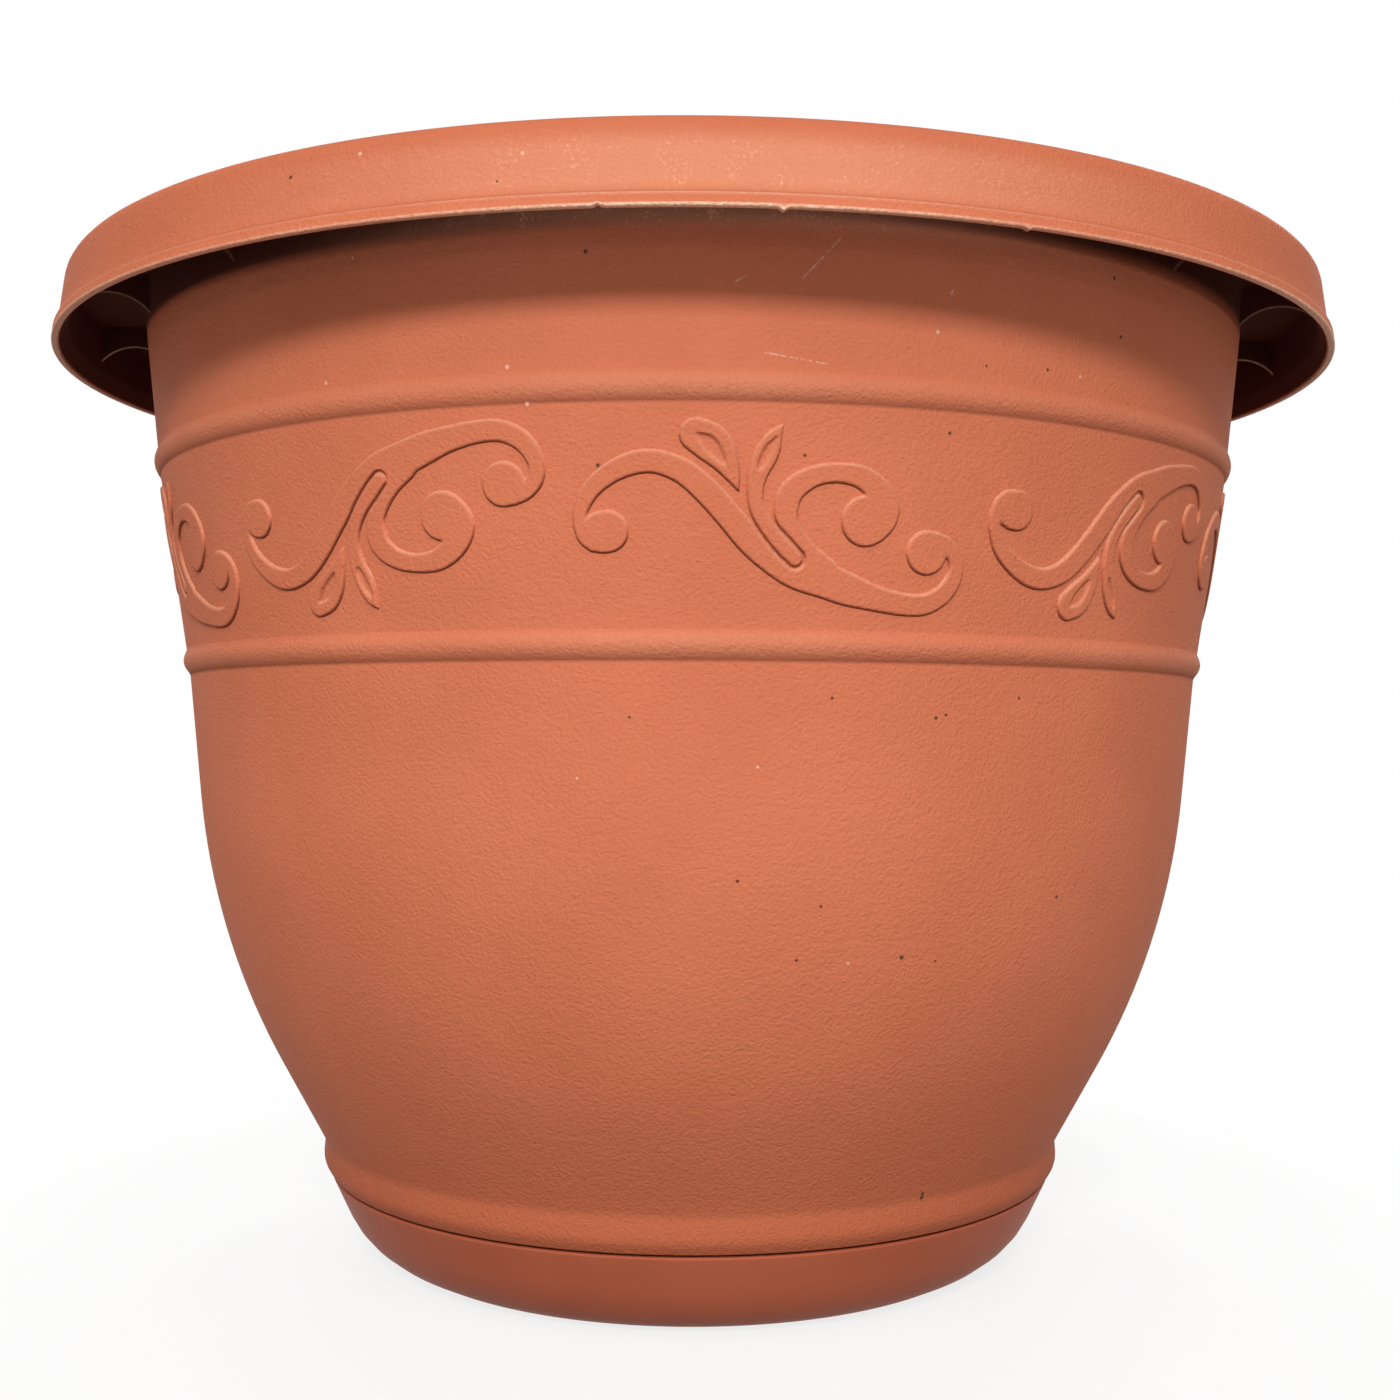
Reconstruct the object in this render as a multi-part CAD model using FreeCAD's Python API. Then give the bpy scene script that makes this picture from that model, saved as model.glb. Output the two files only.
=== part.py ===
"""Plastic bell planter in its saucer, in millimetres.

Two mouldings. The pot is one thin bell: floor with drain holes and feet, foot band, belly, ornament band
between two rings, and an overhanging hollow rim stiffened by gusset ribs. The saucer is a shallow dish that
carries the bell's line on below the seam and the pot on its floor.
Frame: +Z up on the axis, origin on the ground below it.
"""
import FreeCAD, Part
import math
import os
from FreeCAD import Vector

# Overall sizes
RIM_DIAMETER = 305.0
POT_HEIGHT = 228.5
WALL = 2.2

# Rim: a hollow lip that hangs outside the wall
RIM_HEIGHT = 17.0
RIM_FACE_DRAFT = 2.2
FLARE_PROUD = 0.9
FLARE_HEIGHT = 2.5
FLARE_DRAFT = 0.3
LIP_EDGE = 1.4
LIP_TAPER = 4.0
SHOULDER_RADIUS = 3.8
MOUTH_RADIUS = 4.0
RIM_OVERHANG = 19.5
RIM_HOLLOW_FILLET = 1.5

# Gusset ribs inside the rim
RIB_COUNT = 16
RIB_THICKNESS = 1.2
RIB_START_ANGLE = 1.5
RIB_END_DEPTH = 9.5
RIB_ARCH = 4.5

# Two rings and the band between them
RING_HEIGHT = 5.6
RING_PROUD = 1.1
RING_CURVE = 3.2
UPPER_RING_DROP = 38.8
BAND_HEIGHT = 40.4
UPPER_RING_WALL_RADIUS = 128.7
LOWER_RING_WALL_RADIUS = 121.6
RING_EDGE_FILLET = 0.6

# Belly: two straight drafts joined by one long curve
BELLY_RADIUS = 115.7
BELLY_HEIGHT = 77.1
BELLY_CURVE = 165.0

# Foot band above the seam, which swells out over the saucer, and the belly's spring from its top
FOOT_BAND_HEIGHT = 7.9
FOOT_BAND_PROUD = 1.9
FOOT_BAND_SWELL = 2.6
FOOT_BAND_CURVE = 4.0
FOOT_BAND_DRAFT = 0.4
SPRING_FILLET = 4.0

# Saucer
SAUCER_HEIGHT = 20.0
SAUCER_RADIUS = 88.0
SAUCER_DRAFT = 9.4
SAUCER_CURVE = 20.0
SAUCER_WALL = 2.2
SAUCER_FLOOR = 2.2
STAND_RECESS = 0.8
STAND_RING_WIDTH = 9.0
EDGE_FILLET = 0.4

# Seat of the pot in the saucer
SEAM_GAP = 0.6
SEAT_CLEARANCE = 0.35
BASE_INSET = 4.6
BASE_DRAFT = 8.0
BASE_FILLET = 4.0
GUIDE_COUNT = 8
GUIDE_THICKNESS = 2.0
GUIDE_TOP_GAP = 1.2
GUIDE_HEIGHT = 8.0

# Feet and drain holes of the pot's floor
FOOT_COUNT = 6
FOOT_HEIGHT = 6.0
FOOT_THICKNESS = 3.0
FOOT_LENGTH = 22.0
FOOT_INSET = 1.6
DRAIN_COUNT = 6
DRAIN_DIAMETER = 10.0
DRAIN_INSET = 27.4

# How far a rib or foot reaches into the wall it grows from, and how close two points count as one
ROOT = 0.6
SAME_POINT = 1e-6


def line_radius(low, high, z):
    """Radius at height z on the straight line through two (radius, height) points."""
    share = (z - low[1]) / (high[1] - low[1])
    return low[0] + share * (high[0] - low[0])


def section(corners):
    """Closed face in the XZ plane through (radius, height, fillet) corners, each rounded by a tangent arc."""
    points = [Vector(r, 0, z) for r, z, _ in corners]
    starts, ends, arcs = [], [], []
    for i, (_, _, fillet) in enumerate(corners):
        here, before, after = points[i], points[i - 1], points[(i + 1) % len(points)]
        back, ahead = (before - here).normalize(), (after - here).normalize()
        if not fillet:
            starts.append(here)
            ends.append(here)
            arcs.append(None)
            continue
        half = back.getAngle(ahead) / 2
        reach = fillet / math.tan(half)
        first, last = here + back * reach, here + ahead * reach
        centre = here + (back + ahead).normalize() * (fillet / math.sin(half))
        middle = centre + (here - centre).normalize() * fillet
        starts.append(first)
        ends.append(last)
        arcs.append(Part.Arc(first, middle, last).toShape())
    edges = []
    for i, arc in enumerate(arcs):
        if arc:
            edges.append(arc)
        following = starts[(i + 1) % len(points)]
        if ends[i].distanceToPoint(following) > SAME_POINT:
            edges.append(Part.LineSegment(ends[i], following).toShape())
    return Part.Face(Part.Wire(edges))


def turned(face):
    """Solid of revolution of a section about the Z axis."""
    return face.revolve(Vector(0, 0, 0), Vector(0, 0, 1), 360)


def around(shape, count, start_angle=0.0):
    """Copies of a shape, evenly spaced about the Z axis."""
    copies = []
    for i in range(count):
        copy = shape.copy()
        copy.rotate(Vector(0, 0, 0), Vector(0, 0, 1), start_angle + i * 360.0 / count)
        copies.append(copy)
    return copies


def plate(face, thickness):
    """Flat plate made from a face in the XZ plane, centred on that plane."""
    solid = face.extrude(Vector(0, thickness, 0))
    solid.translate(Vector(0, -thickness / 2, 0))
    return solid


# Heights and radii that follow from the sizes above
RIM_RADIUS = RIM_DIAMETER / 2
LIP_Z = POT_HEIGHT - RIM_HEIGHT
CROWN_UNDER_Z = POT_HEIGHT - WALL
UPPER_RING_TOP = POT_HEIGHT - UPPER_RING_DROP
UPPER_RING_LOW = UPPER_RING_TOP - RING_HEIGHT
LOWER_RING_TOP = UPPER_RING_LOW - BAND_HEIGHT
LOWER_RING_LOW = LOWER_RING_TOP - RING_HEIGHT
FACE_RADIUS = RIM_RADIUS - FLARE_PROUD
SHOULDER_R = FACE_RADIUS - RIM_FACE_DRAFT
WALL_TOP_RADIUS = RIM_RADIUS - RIM_OVERHANG
LEDGE_Z = SAUCER_HEIGHT + SEAM_GAP
DISH_Z = STAND_RECESS + SAUCER_FLOOR
SAUCER_LOW = (SAUCER_RADIUS - SAUCER_DRAFT, 0)
SAUCER_TOP = (SAUCER_RADIUS, SAUCER_HEIGHT)
DISH_RADIUS = line_radius(SAUCER_LOW, SAUCER_TOP, DISH_Z) - SAUCER_WALL
CURVE_REACH = math.tan(math.pi / 4 - math.atan2(SAUCER_DRAFT, SAUCER_HEIGHT) / 2)
STAND_RADIUS = SAUCER_LOW[0] - SAUCER_CURVE * CURVE_REACH
DISH_FLAT_RADIUS = DISH_RADIUS - (SAUCER_CURVE - SAUCER_WALL) * CURVE_REACH
FLOOR_UNDER_Z = DISH_Z + FOOT_HEIGHT
FLOOR_TOP_Z = FLOOR_UNDER_Z + WALL
BASE_TOP = (SAUCER_RADIUS - BASE_INSET, LEDGE_Z)
BASE_LOW = (BASE_TOP[0] - BASE_DRAFT, FLOOR_UNDER_Z)
FOOT_BAND = (SAUCER_RADIUS + FOOT_BAND_PROUD, LEDGE_Z + FOOT_BAND_SWELL)
SPRING = (FOOT_BAND[0] - FOOT_BAND_DRAFT, LEDGE_Z + FOOT_BAND_HEIGHT)
LOWER_RING = (LOWER_RING_WALL_RADIUS, LOWER_RING_LOW)
UPPER_RING = (UPPER_RING_WALL_RADIUS, UPPER_RING_LOW)
WALL_TOP = (WALL_TOP_RADIUS, CROWN_UNDER_Z)


def ring_corners(low, high):
    """Corners of a half-round ring standing on the straight wall through two (radius, height) points.

    Both sides run from the wall to touch the crown's arc, so they meet at the slope's tip above the crown.
    """
    top, middle, half = low[1] + RING_HEIGHT, low[1] + RING_HEIGHT / 2, RING_HEIGHT / 2
    depth = RING_CURVE - RING_PROUD
    slope = math.asin(RING_CURVE / math.hypot(half, depth)) - math.atan2(depth, half)
    return [
        (low[0], low[1], RING_EDGE_FILLET),
        (line_radius(low, high, middle) + half * math.tan(slope), middle, RING_CURVE),
        (line_radius(low, high, top), top, RING_EDGE_FILLET),
    ]


def outer_corners():
    """Outside of the pot from its floor up to the hollow under the crown."""
    return [
        (0, FLOOR_UNDER_Z, 0),
        (BASE_LOW[0], FLOOR_UNDER_Z, BASE_FILLET),
        (BASE_TOP[0], LEDGE_Z, EDGE_FILLET),
        (SAUCER_RADIUS, LEDGE_Z, EDGE_FILLET),
        (*FOOT_BAND, FOOT_BAND_CURVE),
        (*SPRING, SPRING_FILLET),
        (BELLY_RADIUS, BELLY_HEIGHT, BELLY_CURVE),
        *ring_corners(LOWER_RING, UPPER_RING),
        *ring_corners(UPPER_RING, WALL_TOP),
        (WALL_TOP_RADIUS, CROWN_UNDER_Z, RIM_HOLLOW_FILLET),
    ]


def rim_corners():
    """Rim from the hollow's outer corner, down to the thinned lip, up its face and over to the mouth."""
    face = (FACE_RADIUS, LIP_Z), (SHOULDER_R, POT_HEIGHT)
    return [
        (line_radius(*face, CROWN_UNDER_Z) - WALL, CROWN_UNDER_Z, RIM_HOLLOW_FILLET),
        (line_radius(*face, LIP_Z + LIP_TAPER) - WALL, LIP_Z + LIP_TAPER, EDGE_FILLET),
        (RIM_RADIUS - LIP_EDGE, LIP_Z, EDGE_FILLET),
        (RIM_RADIUS, LIP_Z, EDGE_FILLET),
        (RIM_RADIUS - FLARE_DRAFT, LIP_Z + FLARE_HEIGHT, FLARE_DRAFT),
        (FACE_RADIUS, LIP_Z + FLARE_HEIGHT, EDGE_FILLET),
        (SHOULDER_R, POT_HEIGHT, SHOULDER_RADIUS),
        (line_radius(UPPER_RING, WALL_TOP, POT_HEIGHT) - WALL, POT_HEIGHT, MOUTH_RADIUS),
    ]


def inner_corners():
    """Inside of the pot from the upper ring down to the floor, one wall in from the outside."""
    base_inner = (BASE_LOW[0] - WALL, BASE_LOW[1]), (BASE_TOP[0] - WALL, BASE_TOP[1])
    ledge_top = LEDGE_Z + WALL
    return [
        (UPPER_RING[0] - WALL, UPPER_RING[1], 0),
        (LOWER_RING[0] - WALL, LOWER_RING[1], 0),
        (BELLY_RADIUS - WALL, BELLY_HEIGHT, BELLY_CURVE),
        (SPRING[0] - WALL, SPRING[1], SPRING_FILLET),
        (SPRING[0] - WALL, ledge_top, EDGE_FILLET),
        (line_radius(*base_inner, ledge_top), ledge_top, EDGE_FILLET),
        (line_radius(*base_inner, FLOOR_TOP_Z), FLOOR_TOP_Z, BASE_FILLET - WALL),
        (0, FLOOR_TOP_Z, 0),
    ]


def gusset_rib():
    """Thin web across the rim's hollow, with an arched lower edge."""
    end_z = CROWN_UNDER_Z - RIB_END_DEPTH
    wall_r = line_radius(UPPER_RING, WALL_TOP, end_z) - ROOT
    lip_r = line_radius((FACE_RADIUS, LIP_Z), (SHOULDER_R, POT_HEIGHT), end_z) - WALL + ROOT
    inner_top = Vector(WALL_TOP_RADIUS - ROOT, 0, CROWN_UNDER_Z + ROOT)
    outer_top = Vector(SHOULDER_R - WALL, 0, CROWN_UNDER_Z + ROOT)
    inner_end, outer_end = Vector(wall_r, 0, end_z), Vector(lip_r, 0, end_z)
    crest = Vector((wall_r + lip_r) / 2, 0, end_z + RIB_ARCH)
    edges = [
        Part.Arc(inner_end, crest, outer_end).toShape(),
        Part.LineSegment(outer_end, outer_top).toShape(),
        Part.LineSegment(outer_top, inner_top).toShape(),
        Part.LineSegment(inner_top, inner_end).toShape(),
    ]
    return plate(Part.Face(Part.Wire(edges)), RIB_THICKNESS)


def foot():
    """Radial foot under the floor, which stands on the flat of the dish and lifts the drain holes off it."""
    return Part.makeBox(
        FOOT_LENGTH,
        FOOT_THICKNESS,
        FOOT_HEIGHT + ROOT,
        Vector(DISH_FLAT_RADIUS - FOOT_INSET - FOOT_LENGTH, -FOOT_THICKNESS / 2, DISH_Z),
    )


def drain_hole():
    """Round hole through the floor, halfway between two feet."""
    start = Vector(BASE_LOW[0] - DRAIN_INSET, 0, FLOOR_UNDER_Z - ROOT)
    return Part.makeCylinder(DRAIN_DIAMETER / 2, WALL + 2 * ROOT, start)


def pot():
    """The bell with its rim, ribs, feet and drain holes, as one moulding."""
    bell = turned(section(outer_corners() + rim_corners() + inner_corners()))
    ribs = around(gusset_rib(), RIB_COUNT, RIB_START_ANGLE - 90.0)
    feet = around(foot(), FOOT_COUNT)
    holes = around(drain_hole(), DRAIN_COUNT, 180.0 / FOOT_COUNT)
    return bell.multiFuse(ribs + feet).cut(holes)


def guide():
    """Upright rib inside the saucer that centres the pot's base."""
    top = SAUCER_HEIGHT - GUIDE_TOP_GAP
    low = top - GUIDE_HEIGHT
    corners = []
    for z in (low, top):
        seat = line_radius(BASE_LOW, BASE_TOP, z) + SEAT_CLEARANCE
        root = line_radius(SAUCER_LOW, SAUCER_TOP, z) - SAUCER_WALL + ROOT
        corners.append([(seat, z, 0), (root, z, 0)])
    return plate(section(corners[0] + corners[1][::-1]), GUIDE_THICKNESS)


def saucer():
    """Shallow round dish on a flat standing ring, with guides for the pot's base."""
    recess_radius = STAND_RADIUS - STAND_RING_WIDTH
    dish = turned(section([
        (0, STAND_RECESS, 0),
        (recess_radius, STAND_RECESS, 0),
        (recess_radius, 0, 0),
        (*SAUCER_LOW, SAUCER_CURVE),
        (*SAUCER_TOP, EDGE_FILLET),
        (SAUCER_RADIUS - SAUCER_WALL, SAUCER_HEIGHT, EDGE_FILLET),
        (DISH_RADIUS, DISH_Z, SAUCER_CURVE - SAUCER_WALL),
        (0, DISH_Z, 0),
    ]))
    return dish.multiFuse(around(guide(), GUIDE_COUNT))


os.makedirs("parts", exist_ok=True)
for name, make in {"pot": pot, "saucer": saucer}.items():
    shape = make()
    print(name, shape.isValid(), len(shape.Solids), round(shape.Volume), shape.BoundBox)
    shape.exportStep(f"parts/{name}.step")
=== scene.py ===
"""Looks of a plastic bell planter that stands in its saucer.

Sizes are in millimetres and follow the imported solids. Meshes are written in metres. An angle round the pot
is in degrees from the front (-Y) towards the right (+X).
"""
import logging
import math
from collections.abc import Sequence
from dataclasses import dataclass
from enum import Enum
from functools import cached_property, reduce
from typing import Any, NamedTuple

import bmesh
import bpy
import numpy as np
from mathutils import Matrix, Vector


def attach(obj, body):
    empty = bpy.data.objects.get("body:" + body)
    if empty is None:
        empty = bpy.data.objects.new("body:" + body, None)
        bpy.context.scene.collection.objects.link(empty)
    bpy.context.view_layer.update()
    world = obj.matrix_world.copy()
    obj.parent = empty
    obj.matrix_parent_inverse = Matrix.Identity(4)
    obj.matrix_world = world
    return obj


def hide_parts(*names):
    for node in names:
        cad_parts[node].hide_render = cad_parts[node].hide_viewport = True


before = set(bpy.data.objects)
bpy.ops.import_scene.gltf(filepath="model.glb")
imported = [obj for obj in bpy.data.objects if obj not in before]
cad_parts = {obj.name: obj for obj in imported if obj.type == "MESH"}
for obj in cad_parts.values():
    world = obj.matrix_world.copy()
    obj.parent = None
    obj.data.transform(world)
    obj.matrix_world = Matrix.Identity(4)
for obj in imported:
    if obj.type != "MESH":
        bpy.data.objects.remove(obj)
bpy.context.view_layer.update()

log = logging.getLogger("planter")

MM = 0.001
ARC_TURN = math.radians(16)
ARC_CHORD = 4.0
SAME_PLACE = 0.002
SAME_ANGLE = 1e-6
SHARP_EDGE = math.radians(35)
PLASTIC_IOR = 1.46
SEEN_RAYS = ("Is Camera Ray", "Is Glossy Ray", "Is Transmission Ray")

# Numbers of the Mix node's colour sockets, whose names it gives to other kinds of data too
MIX_SHARE, MIX_A, MIX_B, MIX_RESULT = 0, 6, 7, 2

Colour = tuple[float, float, float]
Span = tuple[float, float]
Point = tuple[float, float]


class Body(Enum):
    """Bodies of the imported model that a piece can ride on."""

    POT = "pot"
    SAUCER = "saucer"


class Slot(Enum):
    """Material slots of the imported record."""

    GRAINED = "grained_plastic"
    SMOOTH = "smooth_plastic"


class Mark(Enum):
    """Vertex attributes that tell a finish where the moulding differs: where shade is painted, and where
    edges are painted pale.
    """

    PAINTED_SHADE = "hollow"
    WEAR_AND_HIGHLIGHT = "rubbed"


class Corner(NamedTuple):
    """Corner of a turned profile, rounded by an arc of the fillet's radius, with its marks."""

    r: float
    z: float
    fillet: float = 0.0
    # The hollow mark is the share of painted shade. The mark after it is the share of pale edge colour:
    # abrasion on the lip and the rings' tips, painted highlight on the flare's step, the ribs and the
    # scrolls.
    hollow: float = 0.0
    rubbed: float = 0.0


class Spot(NamedTuple):
    """Small mark on the pot's outside, on the wall or on the rim's face."""

    angle: float
    z: float
    radius: float
    on_rim: bool = False


class Scratch(NamedTuple):
    """Straight scratch on the pot's outside, from one angle and height to another."""

    start: Point
    end: Point
    width: float


class Nib(NamedTuple):
    """Flaw of the lip's edge: a drip of flash, or a nick where the drop is negative.

    Its width is in degrees.
    """

    angle: float
    drop: float
    width: float


class WearAndHighlight(NamedTuple):
    """Stretch of an edge that is pale, abraded on the lip and a painted highlight on the ribs: its middle and
    width in degrees, and how pale.
    """

    angle: float
    width: float
    share: float


class Noise(NamedTuple):
    """Noise in a finish: size of its lumps, octaves of detail and how rough these make it."""

    lump: float
    detail: float
    roughness: float = 0.5


class Stroke(NamedTuple):
    """Point of an ornament's ribbon: along the band, above its middle, and half the ribbon's width."""

    s: float
    t: float
    half: float


Ribbon = tuple[Stroke, ...]


def ribbon(*points: tuple[float, float, float]) -> Ribbon:
    """Ribbon through points that are given as the three numbers of a stroke."""
    return tuple(Stroke(*point) for point in points)


# Profiles and paths


def metres(*lengths: float) -> list[float]:
    """Lengths in millimetres as metres."""
    return [length * MM for length in lengths]


def line_radius(low: Sequence[float], high: Sequence[float], z: Any) -> Any:
    """Radius at height z on the straight line through two (radius, height) points."""
    return low[0] + (z - low[1]) / (high[1] - low[1]) * (high[0] - low[0])


def evenly_round(count: int, start: float = 0.0) -> np.ndarray:
    """Angles of places spread evenly round the axis from a start."""
    return start + np.arange(count) * 360 / count


def tangent_arc(before: np.ndarray, here: np.ndarray, after: np.ndarray, fillet: float) -> np.ndarray:
    """Arc that rounds one corner of a profile.

    The arc's centre lies on the bisector, fillet / sin(half angle) from the corner, so that it touches
    both sides.

    Args:
        before: Corner before this one, as (radius, height).
        here: The corner itself.
        after: Corner after this one.
        fillet: Radius of the arc, or 0 for a sharp corner.

    Returns:
        Points of the arc in order, or the corner alone.
    """
    if not fillet:
        return here[None, :]
    back = (before - here) / np.linalg.norm(before - here)
    ahead = (after - here) / np.linalg.norm(after - here)
    half = math.acos(float(np.clip(back @ ahead, -1.0, 1.0))) / 2
    middle = (back + ahead) / np.linalg.norm(back + ahead)
    centre = here + middle * fillet / math.sin(half)
    reach = fillet / math.tan(half)
    first, last = here + back * reach - centre, here + ahead * reach - centre
    start = math.atan2(first[1], first[0])
    sweep = math.remainder(math.atan2(last[1], last[0]) - start, math.tau)
    count = max(2, math.ceil(abs(sweep) / ARC_TURN), math.ceil(abs(sweep) * fillet / ARC_CHORD))
    turn = start + sweep * np.linspace(0.0, 1.0, count + 1)
    return centre + fillet * np.stack([np.cos(turn), np.sin(turn)], axis=1)


def rounded(corners: Sequence[Corner], step: float) -> np.ndarray:
    """Open profile through corners: tangent arcs at the fillets, and straights divided at about the step.

    A corner's marks hold along its arc, and change evenly along a straight.

    Args:
        corners: Corners in order. The first and last stay sharp.
        step: Longest straight piece.

    Returns:
        Rows of (radius, height, hollow, rubbed).
    """
    table = np.array(corners)
    places, ends = table[:, :2], np.delete(table[[0, -1]], 2, axis=1)
    stretches = [ends[:1]]
    for i in range(1, len(corners) - 1):
        arc = tangent_arc(places[i - 1], places[i], places[i + 1], corners[i].fillet)
        stretches.append(np.column_stack([arc, np.broadcast_to(table[i, 3:], (len(arc), 2))]))
    path = np.concatenate([*stretches, ends[1:]])
    lengths = np.linalg.norm(np.diff(path[:, :2], axis=0), axis=1)
    pieces = [
        np.linspace(a, b, max(1, math.ceil(length / step)), endpoint=False)
        for a, b, length in zip(path[:-1], path[1:], lengths)
    ]
    return np.concatenate([*pieces, path[-1:]])


def smooth_path(points: np.ndarray, step: float) -> np.ndarray:
    """Curve through all points: cubic spans whose slope at a point is half the chord of its neighbours.

    Args:
        points: Rows of coordinates; every column is carried along alike.
        step: Distance between samples on the longest span.

    Returns:
        Rows sampled along the curve.
    """
    ends = np.concatenate([2 * points[:1] - points[1:2], points, 2 * points[-1:] - points[-2:-1]])
    count = max(1, math.ceil(np.linalg.norm(np.diff(points[:, :2], axis=0), axis=1).max() / step))
    u = np.linspace(0.0, 1.0, count, endpoint=False)[None, :, None]
    a, b, c, d = (ends[i:len(ends) - 3 + i, None, :] for i in range(4))
    slope_b, slope_c = (c - a) / 2, (d - b) / 2
    span = (
        (2 * u**3 - 3 * u**2 + 1) * b
        + (u**3 - 2 * u**2 + u) * slope_b
        + (3 * u**2 - 2 * u**3) * c
        + (u**3 - u**2) * slope_c
    )
    return np.concatenate([span.reshape(-1, points.shape[1]), points[-1:]])


def turned_places(r: Any, z: Any, angle: Any) -> np.ndarray:
    """Places of cylinder coordinates: x = r sin(angle), y = -r cos(angle), with angles in degrees."""
    r, z, turn = np.broadcast_arrays(r, z, np.radians(angle))
    return np.stack([r * np.sin(turn), -r * np.cos(turn), z], axis=-1)


def bump(angles: np.ndarray, middle: float, width: float) -> np.ndarray:
    """Bump of height 1 over angles: exp(-(d / width)^2), with d the way round to its middle."""
    away = (angles - middle + 180) % 360 - 180
    return np.exp(-((away / width) ** 2))


def wear_and_highlight_round(angles: np.ndarray, least: float, stretches: Sequence[WearAndHighlight]) -> np.ndarray:
    """How pale an edge is at each angle, abraded on the lip and a painted highlight on the ribs: the least
    all round, and a bump on each pale stretch.
    """
    return least + sum(worn_and_highlit.share * bump(angles, worn_and_highlit.angle, worn_and_highlit.width) for worn_and_highlit in stretches)


def soft_least(a: np.ndarray, b: np.ndarray, blend: float) -> np.ndarray:
    """Smaller of two fields, rounded where they lie closer than the blend.

    It is a h + b (1 - h) - blend h (1 - h), where h goes from 0 to 1 as b - a goes from -blend to blend.
    """
    h = np.clip(0.5 + (b - a) / (2 * blend), 0, 1)
    return a * h + b * (1 - h) - blend * h * (1 - h)


def quads(index: np.ndarray) -> np.ndarray:
    """Cells of a grid of vertex indices, each as its four corners in turn."""
    corners = index[:-1, :-1], index[1:, :-1], index[1:, 1:], index[:-1, 1:]
    return np.stack(corners, axis=-1).reshape(-1, 4)


def island(raised: np.ndarray) -> tuple[np.ndarray, np.ndarray]:
    """Cells of a grid that make one clean raised sheet.

    A cell counts where one of its corners is raised. Cells are then filled in wherever two of them meet
    only at a corner, or share an edge with no inner end, so a top and a bottom that join at the sheet's
    edge close up.

    Args:
        raised: Whether each vertex of the grid is raised.

    Returns:
        Mask of the cells, and mask of the vertices whose four cells all count.
    """
    bad = raised
    cells = np.zeros([size - 1 for size in raised.shape], bool)
    while bad.any():
        cells |= bad[:-1, :-1] | bad[1:, :-1] | bad[:-1, 1:] | bad[1:, 1:]
        wide = np.pad(cells, 1)
        a, b, c, d = wide[:-1, :-1], wide[1:, :-1], wide[:-1, 1:], wide[1:, 1:]
        inner = a & b & c & d
        bad = (a & d & ~b & ~c) | (b & c & ~a & ~d)
        up = wide[1:-1, :-1] & wide[1:-1, 1:] & ~inner[:-1] & ~inner[1:]
        along = wide[:-1, 1:-1] & wide[1:, 1:-1] & ~inner[:, :-1] & ~inner[:, 1:]
        bad[:-1] |= up
        bad[1:] |= up
        bad[:, :-1] |= along
        bad[:, 1:] |= along
    return cells, inner


# Meshes


def add_object(name: str, data: bpy.types.ID) -> bpy.types.Object:
    """Adds an object to the scene.

    Args:
        name: Name of the object.
        data: Its mesh, lamp or camera.

    Returns:
        The new object, at the origin.
    """
    made = bpy.data.objects.new(name, data)
    bpy.context.scene.collection.objects.link(made)
    return made


class Moulding:
    """Collects surfaces, each worked out as a whole array, and makes one mesh piece of them."""

    def __init__(self, name: str, wound: bool = False) -> None:
        """Starts an empty piece.

        Args:
            name: Name of its object.
            wound: Whether its faces are given facing outwards already.
        """
        self.name = name
        self.wound = wound
        self.places: list[np.ndarray] = []
        self.faces: list[list[int]] = []
        self.marks: dict[Mark, list[np.ndarray]] = {mark: [] for mark in Mark}
        self.count = 0

    def points(self, places: np.ndarray, **marks: Any) -> np.ndarray:
        """Adds vertices and returns their indices in the same grid.

        Args:
            places: Array (..., 3) in millimetres.
            marks: Values of vertex attributes by the attribute's name, one number or one for each vertex.

        Returns:
            Array of vertex indices, shaped as the grid.
        """
        grid = places.shape[:-1]
        size = int(np.prod(grid))
        self.places.append(places.reshape(-1, 3))
        for mark in Mark:
            values = np.broadcast_to(np.asarray(marks.get(mark.value, 0.0), float), grid)
            self.marks[mark].append(values.reshape(-1))
        self.count += size
        return np.arange(self.count - size, self.count).reshape(grid)

    def skin(self, index: np.ndarray) -> None:
        """Covers a grid of vertex indices with quads, closed from its last column to its first."""
        self.faces += quads(np.concatenate([index, index[:, :1]], axis=1)).tolist()

    def turn(self, r: np.ndarray, z: np.ndarray, angles: np.ndarray, **marks: Any) -> None:
        """Adds a profile turned about the axis: x = r sin(a), y = -r cos(a), with r and z as columns."""
        self.skin(self.points(turned_places(r, z, angles), **marks))

    def lid(self, loop: np.ndarray) -> None:
        """Closes a loop of vertex indices with one flat face."""
        self.faces.append(loop.tolist())

    def make(self, finish: bpy.types.Material) -> bpy.types.Object:
        """Makes the object: doubles merged, faces outwards, smooth but for its sharp edges.

        Args:
            finish: Material of the whole piece.

        Returns:
            The new object, at the origin.
        """
        mesh = bpy.data.meshes.new(self.name)
        mesh.from_pydata(np.concatenate(self.places) * MM, [], self.faces)
        for mark, values in self.marks.items():
            layer = mesh.attributes.new(mark.value, "FLOAT", "POINT")
            layer.data.foreach_set("value", np.concatenate(values).astype(np.float32))
        edit = bmesh.new()
        edit.from_mesh(mesh)
        bmesh.ops.remove_doubles(edit, verts=edit.verts, dist=SAME_PLACE * MM)
        if not self.wound:
            bmesh.ops.recalc_face_normals(edit, faces=edit.faces)
        edit.to_mesh(mesh)
        edit.free()
        mesh.shade_smooth()
        mesh.set_sharp_from_angle(angle=SHARP_EDGE)
        mesh.materials.append(finish)
        log.info("%s: %d faces", self.name, len(mesh.polygons))
        return add_object(self.name, mesh)


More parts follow.
